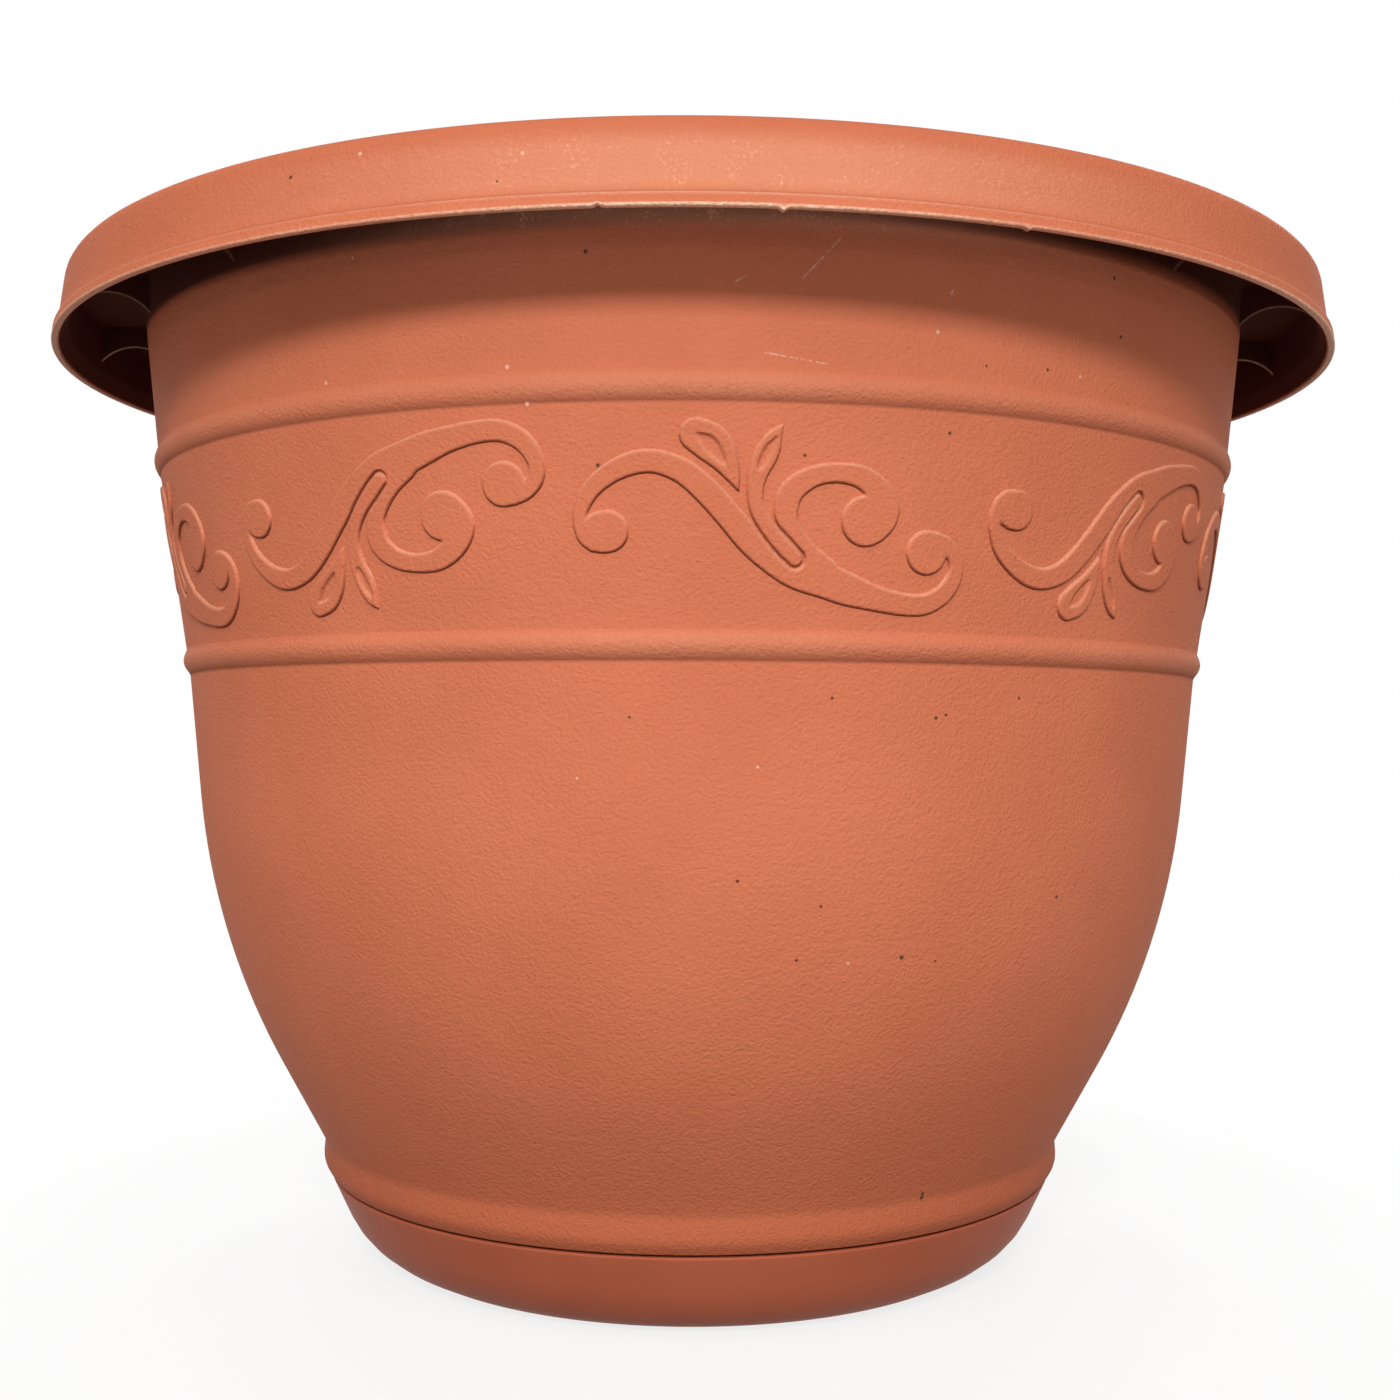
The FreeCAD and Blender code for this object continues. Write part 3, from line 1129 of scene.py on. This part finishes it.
    def wall_shade(self, z: np.ndarray) -> np.ndarray:
        """How much shade is painted on the wall behind the lip, past a border that climbs from the front to
        the sides.

        Args:
            z: Heights, as a column.

        Returns:
            Values from 0 at the border to 1 above it, for each height and angle.
        """
        low, high = self.hollow_shade
        border = self.lip_z + low + self.hollow_lift * (1 - bump(self.angles, *self.hollow_front))
        return np.clip((z - border) / (high - low), 0, 1)

    def shell(self) -> Moulding:
        """Bell wall, rim and floor as one closed skin.

        The wall is the profile turned about the axis. The nibs lower or raise only the lip's edge, whose
        mark of 1 is what the rounding down leaves.

        Returns:
            The moulding.
        """
        moulding = Moulding("pot_shell")
        r, z, hollow, rubbed = (column[:, None] for column in self.profile().T)
        outer = np.arange(len(z))[:, None] < len(rounded(self.outer_corners(), self.profile_step))
        # Painted shade on the outer wall above the lip's height.
        hollow = np.where(outer & (z > self.lip_z), self.wall_shade(z), hollow)
        drop = sum(nib.drop * bump(self.angles, nib.angle, nib.width) for nib in self.nibs)
        worn_and_highlit = rubbed * wear_and_highlight_round(self.angles, self.lip_rubbed, self.lip_worn)
        moulding.turn(r, z - np.floor(rubbed) * drop, self.angles, hollow=hollow, rubbed=worn_and_highlit)
        self.add_floor(moulding)
        return moulding

    def add_floor(self, moulding: Moulding) -> None:
        """Adds the floor's top and underside and the edges of its drain holes.

        Each hole has an equal share of the floor, covered by rays from the hole's edge to the share's edge.
        A ray's points are (1 - k) * hole edge + k * share edge, for k from 0 to 1.

        Args:
            moulding: Piece that takes the floor.
        """
        share = 360 / self.drain_count
        side = np.linspace(1.0, 0.0, self.floor_side_points)
        inwards, outwards = side[1:], side[-2:0:-1]
        k = np.linspace(0.0, 1.0, self.floor_rings)[:, None, None]
        for middle in evenly_round(self.drain_count):
            turn = np.sort((self.angles - middle + 180) % 360 - 180)
            arc = turn[np.abs(turn) <= share / 2 + SAME_ANGLE]
            bend = np.concatenate([arc, np.full_like(inwards, share / 2), np.full_like(outwards, -share / 2)])
            reach = self.floor_radius * np.concatenate([np.ones_like(arc), inwards, outwards])
            edge = turned_places(reach, 0.0, bend + middle)[:, :2]
            centre = turned_places(self.drain_circle, 0.0, middle)[:2]
            away = edge - centre
            rim = centre + self.drain_radius * away / np.linalg.norm(away, axis=1, keepdims=True)
            flat = (1 - k) * rim + k * edge
            grids = []
            # Painted shade, full under the floor and the inside's share on its top.
            for z, shade in ((self.floor_under, 1.0), (self.floor_top, self.inside_shade)):
                level = np.full((*flat.shape[:-1], 1), z)
                grids.append(moulding.points(np.concatenate([flat, level], axis=-1), hollow=shade))
                moulding.skin(grids[-1])
            moulding.skin(np.stack([grids[0][0], grids[1][0]]))

    def ribs(self) -> Moulding:
        """Thin webs across the rim's hollow, each with an arched lower edge.

        The lower edge is the circle through both ends and the crest: z = centre + sqrt(R^2 - x^2).

        Returns:
            Moulding that holds all the ribs.
        """
        end_z = self.crown_under - self.rib_end_depth
        low, high = self.wall_line(end_z) - self.root, self.face_line(end_z) - self.wall + self.root
        half = (high - low) / 2
        big = (half**2 + self.rib_arch**2) / (2 * self.rib_arch)
        x = np.linspace(-half, half, self.arch_points)
        arch = np.stack([low + half + x, end_z + self.rib_arch - big + np.sqrt(big**2 - x**2)], axis=1)
        top = np.array([
            (self.shoulder_radius - self.wall, self.crown_under + self.root),
            (self.wall_top[0] - self.root, self.crown_under + self.root),
        ])
        outline = np.concatenate([arch, top])
        angles = evenly_round(self.rib_count, self.rib_start)
        # Painted highlight on the ribs' edges, strongest at the sides.
        worn_and_highlit = wear_and_highlight_round(angles, self.rib_rubbed, self.rib_highlight)
        return web_plates("rim_ribs", outline, self.rib_thickness, self.rib_bevel, angles, worn_and_highlit)

    def feet(self) -> Moulding:
        """Radial feet under the floor, halfway between the drain holes.

        Returns:
            Moulding that holds all the feet.
        """
        low, high = self.floor_under - self.foot_height, self.floor_under + self.root
        near, far = self.foot_reach
        middle = Corner((near + far) / 2, high)
        corners = [
            middle,
            Corner(near, high),
            Corner(near, low, self.foot_fillet),
            Corner(far, low, self.foot_fillet),
            Corner(far, high),
            middle,
        ]
        outline = rounded(corners, self.foot_step)[:-1, :2]
        angles = evenly_round(self.drain_count, 180 / self.drain_count)
        return web_plates("floor_feet", outline, self.foot_thickness, self.foot_bevel, angles)


@dataclass
class ScrollBand:
    """Raised scrolls between the two rings, upright and turned over by turns round the pot."""

    bell: Bell
    count: int = 10
    first_angle: float = 7.18
    above_middle: float = 0.2
    proud: float = 0.62
    sunk: float = 0.3
    edge_out: float = 0.2
    edge_width: float = 0.7
    groove_start: float = 0.1
    groove_width: float = 0.7
    recess: float = 0.5
    join: float = 0.6
    # Painted highlight on the scrolls' edges that face up; the two below give painted shade at the foot of
    # those that face down.
    edge_highlight: float = 0.3
    crease: float = 0.9
    crease_rise: float = 1.4
    mesh: float = 0.25
    path_step: float = 0.3
    border: float = 1.2
    least_lift: float = 0.005
    stem: Ribbon = ribbon(
        (-34.2, -5.6, 1.0), (-35.6, -4.2, 1.2), (-36.1, -2.6, 1.35), (-36.4, -1.1, 1.3), (-36.0, 1.2, 1.4),
        (-34.1, 4.5, 1.7), (-30.6, 7.3, 1.9), (-26.6, 9.0, 2.1), (-22.9, 9.3, 2.1), (-19.3, 8.3, 2.2),
        (-16.5, 6.7, 2.3), (-13.0, 3.6, 2.4), (-9.6, -0.1, 2.4), (-5.8, -4.3, 2.5), (-1.9, -7.5, 2.6),
        (2.9, -10.2, 2.8), (8.7, -11.5, 3.2), (13.0, -12.9, 3.0), (18.1, -14.3, 2.4), (23.8, -15.3, 2.1),
        (28.3, -15.3, 2.0), (31.6, -13.9, 1.9), (33.8, -11.7, 1.8), (34.9, -9.0, 1.6), (34.4, -6.3, 1.6),
        (32.6, -4.3, 1.5), (30.5, -3.2, 1.2),
    )
    curl: Ribbon = ribbon(
        (8.5, -9.6, 2.4), (5.2, -7.2, 2.4), (2.6, -4.0, 2.2), (1.1, -0.9, 2.1), (1.0, 2.2, 2.3),
        (2.3, 4.8, 2.2), (5.7, 7.0, 1.9), (10.1, 7.8, 1.8), (14.6, 7.2, 2.1), (18.1, 4.8, 2.4),
        (19.8, 1.7, 2.5), (19.6, -0.8, 2.0), (18.4, -2.6, 1.5),
    )
    left_leaf: Ribbon = ribbon(
        (-7.8, 4.3, 0.2), (-8.9, 7.0, 1.4), (-10.6, 10.1, 2.6), (-12.9, 12.6, 3.4), (-15.4, 14.0, 3.0),
    )
    right_leaf: Ribbon = ribbon(
        (-0.1, 15.9, 0.1), (-1.5, 13.9, 1.3), (-2.7, 11.1, 2.1), (-4.3, 7.4, 1.8), (-4.8, 4.0, 1.5),
        (-4.2, 0.7, 1.4), (-2.1, -2.7, 1.4), (0.7, -5.7, 1.5), (2.8, -7.7, 1.4),
    )
    left_almond: Ribbon = ribbon((-15.1, 14.0, 0.3), (-12.9, 12.3, 1.3), (-10.9, 9.8, 0.7), (-10.4, 8.9, 0.2))
    right_almond: Ribbon = ribbon((-1.3, 13.6, 0.2), (-2.5, 11.6, 0.8), (-3.7, 9.2, 0.7), (-4.1, 8.2, 0.2))
    balls: tuple[Ribbon, ...] = (
        ribbon((-32.2, -3.1, 3.8), (-31.3, -3.0, 3.8)),
        ribbon((28.4, -5.8, 4.1), (28.5, -5.8, 4.1)),
        ribbon((15.8, -0.6, 4.6), (15.9, -0.6, 4.6)),
    )

    @property
    def middle_z(self) -> float:
        """Height of the scrolls' middle, a little above the band's."""
        low, high = self.bell.lower_ring[1] + self.bell.ring_height, self.bell.upper_ring[1]
        return (low + high) / 2 + self.above_middle

    def reach(self, s: np.ndarray, t: np.ndarray, strokes: Ribbon) -> np.ndarray:
        """Signed distance from points to a ribbon: least of |P - C| - half over its discs.

        Args:
            s: Places of the points along the band.
            t: Places of the points above the scrolls' middle.
            strokes: The ribbon.

        Returns:
            Distances, negative inside the ribbon.
        """
        nearest = np.full(s.shape, np.inf)
        for disc in smooth_path(np.array(strokes), self.path_step):
            nearest = np.minimum(nearest, np.hypot(s - disc[0], t - disc[1]) - disc[2])
        return nearest

    def swell(self, distance: np.ndarray) -> np.ndarray:
        """Height of a ribbon's edge: 1 - (1 - q)^2 with q from 0 outside to 1 where its top is flat."""
        q = np.clip((self.edge_out - distance) / self.edge_width, 0, 1)
        return 1 - (1 - q) ** 2

    def relief(self) -> tuple[np.ndarray, np.ndarray, np.ndarray]:
        """Height field of one upright scroll.

        Ribbons and balls join at one level. A leaf lies over them with a groove on both sides, and holds an
        almond-shaped recess.

        Returns:
            Places along and up the band, and the height over the wall, as grids.
        """
        outline = np.array([*self.stem, *self.left_leaf, *self.right_leaf])
        low = (outline[:, :2] - outline[:, 2:]).min(axis=0) - self.border
        high = (outline[:, :2] + outline[:, 2:]).max(axis=0) + self.border
        axes = [np.arange(a, b, self.mesh) for a, b in zip(low, high)]
        s, t = np.meshgrid(*axes, indexing="ij")
        stem = self.reach(s, t, self.stem)
        for strokes in (self.curl, *self.balls):
            stem = soft_least(stem, self.reach(s, t, strokes), self.join)
        leaf = np.minimum(self.reach(s, t, self.left_leaf), self.reach(s, t, self.right_leaf))
        almond = np.minimum(self.reach(s, t, self.left_almond), self.reach(s, t, self.right_almond))
        groove = np.clip((leaf - self.groove_start) / self.groove_width, 0, 1)
        full = self.proud + self.sunk
        under = full * self.swell(stem) * groove**2 * (3 - 2 * groove)
        over = full * self.swell(leaf) - self.recess * self.swell(almond)
        return s, t, np.maximum(under, over) - self.sunk

    def scroll(self, name: str, angle: float, upright: bool, relief: tuple[np.ndarray, ...]) -> Moulding:
        """One scroll as a closed island whose foot is sunk in the wall.

        Args:
            name: Name of the piece.
            angle: Angle of its middle round the pot.
            upright: Whether it stands upright; else it is turned over.
            relief: The height field of the upright scroll.

        Returns:
            The moulding: a top that follows the field and a bottom at the sunk level, joined at their edge.
            Its edges that face up carry a painted highlight, and those that face down painted shade at their
            foot.
        """
        s, t, height = relief
        low, high = self.bell.lower_ring, self.bell.upper_ring
        lean = math.atan2(high[0] - low[0], high[1] - low[1])
        way = 1 if upright else -1
        foot_z = self.middle_z + way * t
        foot_r = line_radius(low, high, foot_z)
        turn = angle + np.degrees(s / line_radius(low, high, self.middle_z))
        falls = -way * np.gradient(height, self.mesh, axis=1)
        # Painted highlight where the relief's edge faces up, painted shade at the foot where it faces down.
        light = self.edge_highlight * np.clip(falls, 0, 1)
        foot = np.clip(self.crease_rise * (1 - height / self.proud), 0, 1)
        dark = self.crease * np.clip(-falls, 0, 1) * foot
        least = self.least_lift - self.sunk
        counted, inner = island(height > least)
        cells = quads(np.arange(s.size).reshape(s.shape))[counted.reshape(-1)]
        height = np.where(inner, np.maximum(height, least), -self.sunk)
        used, order = np.unique(cells, return_inverse=True)
        faces = order.reshape(cells.shape)
        marks = {Mark.WEAR_AND_HIGHLIGHT.value: light.reshape(-1)[used], Mark.PAINTED_SHADE.value: dark.reshape(-1)[used]}
        moulding = Moulding(name, wound=True)
        for level, flip in ((height, way), (np.full_like(height, -self.sunk), -way)):
            skin = turned_places(foot_r + level * math.cos(lean), foot_z - level * math.sin(lean), turn)
            first = moulding.points(skin.reshape(-1, 3)[used], **marks)[0]
            moulding.faces += (faces[:, ::flip] + first).tolist()
        return moulding

    def scrolls(self) -> list[Moulding]:
        """All scrolls round the band.

        Returns:
            Ten mouldings, with every second one turned over.
        """
        relief = self.relief()
        return [
            self.scroll(f"scroll_{k + 1:02d}", angle, k % 2 == 0, relief)
            for k, angle in enumerate(evenly_round(self.count, self.first_angle))
        ]


# The saucer


@dataclass
class Saucer:
    """Shallow round dish on a flat standing ring, with upright guides for the pot's base."""

    height: float = 20.0
    radius: float = 88.0
    draft: float = 9.4
    curve: float = 20.0
    wall: float = 2.2
    floor: float = 2.2
    stand_recess: float = 0.8
    stand_ring: float = 9.0
    stand_fillet: float = 0.3
    edge_fillet: float = 0.4
    gate_radius: float = 4.0
    gate_depth: float = 0.3
    gate_fillet: float = 0.1
    segments: int = 384
    profile_step: float = 4.0
    guide_count: int = 8
    guide_start: float = 90.0
    guide_thickness: float = 2.0
    guide_bevel: float = 0.3
    guide_top_gap: float = 1.2
    guide_height: float = 8.0
    seat_clearance: float = 0.35
    root: float = 0.6

    def side(self, z: float) -> float:
        """Radius of the dish's straight side at a height."""
        return self.radius - self.draft * (1 - z / self.height)

    def dish(self) -> Moulding:
        """The dish: its profile, from the underside's middle round the edge to the floor's middle, turned.

        Returns:
            The moulding.
        """
        reach = self.curve * math.tan(math.pi / 4 - math.atan2(self.draft, self.height) / 2)
        stand = self.side(0) - reach - self.stand_ring
        well = self.stand_recess + self.floor
        gate = self.stand_recess + self.gate_depth
        corners = [
            Corner(0, gate),
            Corner(self.gate_radius, gate, self.gate_fillet),
            Corner(self.gate_radius, self.stand_recess, self.gate_fillet),
            Corner(stand, self.stand_recess, self.stand_fillet),
            Corner(stand, 0, self.stand_fillet),
            Corner(self.side(0), 0, self.curve),
            Corner(self.radius, self.height, self.edge_fillet),
            Corner(self.radius - self.wall, self.height, self.edge_fillet),
            Corner(self.side(well) - self.wall, well, self.curve - self.wall),
            Corner(0, well),
        ]
        r, z = rounded(corners, self.profile_step).T[:2, :, None]
        moulding = Moulding("saucer_dish")
        moulding.turn(r, z, evenly_round(self.segments))
        return moulding

    def guides(self, bell: Bell) -> Moulding:
        """Upright guides between the dish's wall and the pot's base.

        Args:
            bell: Pot whose base the guides centre.

        Returns:
            Moulding that holds all the guides.
        """
        top = self.height - self.guide_top_gap
        low = top - self.guide_height
        outline = np.array([
            (line_radius(bell.base_low, bell.base_top, low) + self.seat_clearance, low),
            (self.side(low) - self.wall + self.root, low),
            (self.side(top) - self.wall + self.root, top),
            (line_radius(bell.base_low, bell.base_top, top) + self.seat_clearance, top),
        ])
        angles = evenly_round(self.guide_count, self.guide_start)
        return web_plates("saucer_guides", outline, self.guide_thickness, self.guide_bevel, angles)


# The studio


class Panel(NamedTuple):
    """Soft lamp as seen from the pot.

    Its direction and lean are in degrees, and its size and distance in metres. Its share is what a white
    surface that faces it shows.
    """

    name: str
    azimuth: float
    elevation: float
    width: float
    height: float
    lean: float
    share: float
    distance: float = 1.4


def aimed(place: Vector, look: Vector, roll: float) -> Matrix:
    """Place of a thing that looks one way along its own -Z, and is rolled about that line in degrees."""
    turn = look.to_track_quat("-Z", "Y").to_matrix() @ Matrix.Rotation(math.radians(roll), 3, "Z")
    return Matrix.Translation(place) @ turn.to_4x4()


@dataclass
class Studio:
    """Camera at the photograph's view, soft panels and a white floor, in metres.

    The front key sets the lip's shadow. Two higher keys stand beside it, a level panel and low fills soften
    the shadow, and two back panels light the far side.
    """

    eye: tuple[float, float, float] = (-0.00025, -0.4303, 0.1242)
    target: tuple[float, float, float] = (0.00193, 0.0, 0.13347)
    roll: float = 0.262
    lens: float = 43.786
    sensor: float = 36.0
    nearest: float = 0.01
    aim: tuple[float, float, float] = (0.0, -0.12, 0.15)
    panels: tuple[Panel, ...] = (
        Panel("key_left", -28, 52, 0.6, 0.6, 0, 0.14),
        Panel("key_front", -4, 27.5, 0.5, 0.22, 4, 0.775),
        Panel("key_right", 28, 52, 0.6, 0.6, 0, 0.08),
        Panel("front", 0, 4, 0.5, 0.1, 0, 0.05),
        Panel("fill_front", -5, -12.5, 0.9, 0.03, 0, 0.05, 0.6),
        Panel("fill_left", -58, -8, 0.5, 0.04, 0, 0.09, 0.9),
        Panel("fill_right", 55, -8, 0.5, 0.04, 0, 0.145, 0.9),
        Panel("back_left", -165, 24, 0.7, 0.3, 0, 0.32),
        Panel("back_right", 161, 24, 0.7, 0.3, 0, 0.32),
    )
    ambient: float = 0.19
    floor_rings: tuple[float, ...] = (0.0, 0.25, 1.0, 8.0)
    floor_spokes: int = 48

    def camera(self) -> None:
        """Sets the scene's camera: it looks at the target and is rolled about its own axis."""
        data = bpy.data.cameras.new("photo_view")
        data.sensor_width = self.sensor
        data.lens = self.lens
        data.clip_start = self.nearest
        eye = add_object("photo_view", data)
        eye.matrix_world = aimed(Vector(self.eye), Vector(self.target) - Vector(self.eye), self.roll)
        bpy.context.scene.camera = eye

    def lamps(self) -> None:
        """Hangs the panels: a white surface that faces one shows about its share, power / (pi distance)^2."""
        for panel in self.panels:
            data = bpy.data.lights.new(panel.name, "AREA")
            data.shape = "RECTANGLE"
            data.size, data.size_y = panel.width, panel.height
            data.energy = panel.share * (math.pi * panel.distance) ** 2
            lamp = add_object(panel.name, data)
            side, up = math.radians(panel.azimuth), math.radians(panel.elevation)
            away = Vector((math.cos(up) * math.sin(side), -math.cos(up) * math.cos(side), math.sin(up)))
            lamp.matrix_world = aimed(Vector(self.aim) + panel.distance * away, -away, panel.lean)
            lamp.visible_camera = False

    def world(self) -> None:
        """Lights the pot with an even grey, while rays that are seen meet white."""
        graph = Graph(bpy.data.worlds.new("studio_white"))
        colour = graph.mix(graph.seen(), grey(self.ambient), grey(1.0))
        bpy.context.scene.world = graph.finish(graph.node("ShaderNodeBackground", {}, {"Color": colour}))

    def floor(self) -> None:
        """Lays a round floor: a grid of rings and spokes, x = r sin(a), y = -r cos(a)."""
        moulding = Moulding("floor")
        r = np.array(self.floor_rings)[:, None] / MM
        moulding.turn(r, np.zeros_like(r), evenly_round(self.floor_spokes))
        moulding.make(StudioFloor().material())

    def view_settings(self) -> None:
        """Shows colours as they are written."""
        bpy.context.scene.view_settings.view_transform = "Standard"


DARK_SPECKS = tuple(Spot(*spot) for spot in (
    (-28.3, 222.3, 0.5, True), (-12.7, 216.9, 0.3, True), (-8.5, 210.2, 0.5), (38.0, 213.1, 0.5),
    (39.5, 202.4, 0.5), (30.9, 193.6, 0.4), (24.6, 192.8, 0.35), (-7.8, 172.8, 0.5), (9.0, 174.8, 0.4),
    (21.5, 180.1, 0.45), (11.9, 92.8, 0.4), (20.5, 82.5, 0.6), (38.7, 92.6, 0.5), (4.1, 97.7, 0.45),
    (9.9, 82.6, 0.4), (32.2, 29.1, 0.7), (32.1, 30.0, 0.6), (-5.5, 127.7, 0.35), (12.2, 131.4, 0.4),
    (22.2, 127.9, 0.45), (23.2, 128.5, 0.4), (31.2, 131.9, 0.4), (24.3, 81.4, 0.35),
))
PALE_SPECKS = tuple(Spot(*spot) for spot in (
    (-22.7, 224.5, 0.5, True), (-11.1, 221.6, 0.45, True), (-28.9, 212.9, 0.3), (-32.6, 190.8, 0.5),
    (-15.1, 190.6, 0.55), (-13.5, 183.9, 0.5), (19.9, 198.0, 0.5), (34.7, 193.4, 0.45), (5.7, 118.7, 0.4),
    (-10.2, 116.5, 0.35), (15.0, 81.8, 0.4),
))
SCRATCHES = (
    Scratch((8.5, 205.9), (11.4, 213.1), 0.45),
    Scratch((3.1, 204.7), (4.0, 205.9), 0.4),
    Scratch((5.4, 192.6), (10.5, 191.0), 0.5),
    Scratch((20.8, 204.4), (21.1, 205.7), 0.5),
)


def place_piece(moulding: Moulding, finish: bpy.types.Material, body: Body) -> None:
    """Makes a piece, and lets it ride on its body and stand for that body's node.

    Args:
        moulding: Surfaces of the piece.
        finish: Its material.
        body: Body that carries it, named as its node is.
    """
    piece = moulding.make(finish)
    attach(piece, body.value)
    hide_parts(body.value)


def main() -> None:
    """Builds the studio, the pot and the saucer."""
    logging.basicConfig(level=logging.INFO)
    studio = Studio()
    studio.view_settings()
    studio.camera()
    studio.lamps()
    studio.world()
    studio.floor()

    bell = Bell()
    finish = GrainedPlastic(dark_specks=DARK_SPECKS, pale_specks=PALE_SPECKS, scratches=SCRATCHES)
    grained = finish.material(bell)
    for moulding in (bell.shell(), bell.ribs(), bell.feet(), *ScrollBand(bell).scrolls()):
        place_piece(moulding, grained, Body.POT)

    saucer = Saucer()
    smooth = SmoothPlastic().material()
    for moulding in (saucer.dish(), saucer.guides(bell)):
        place_piece(moulding, smooth, Body.SAUCER)


if __name__ == "__main__":
    main()
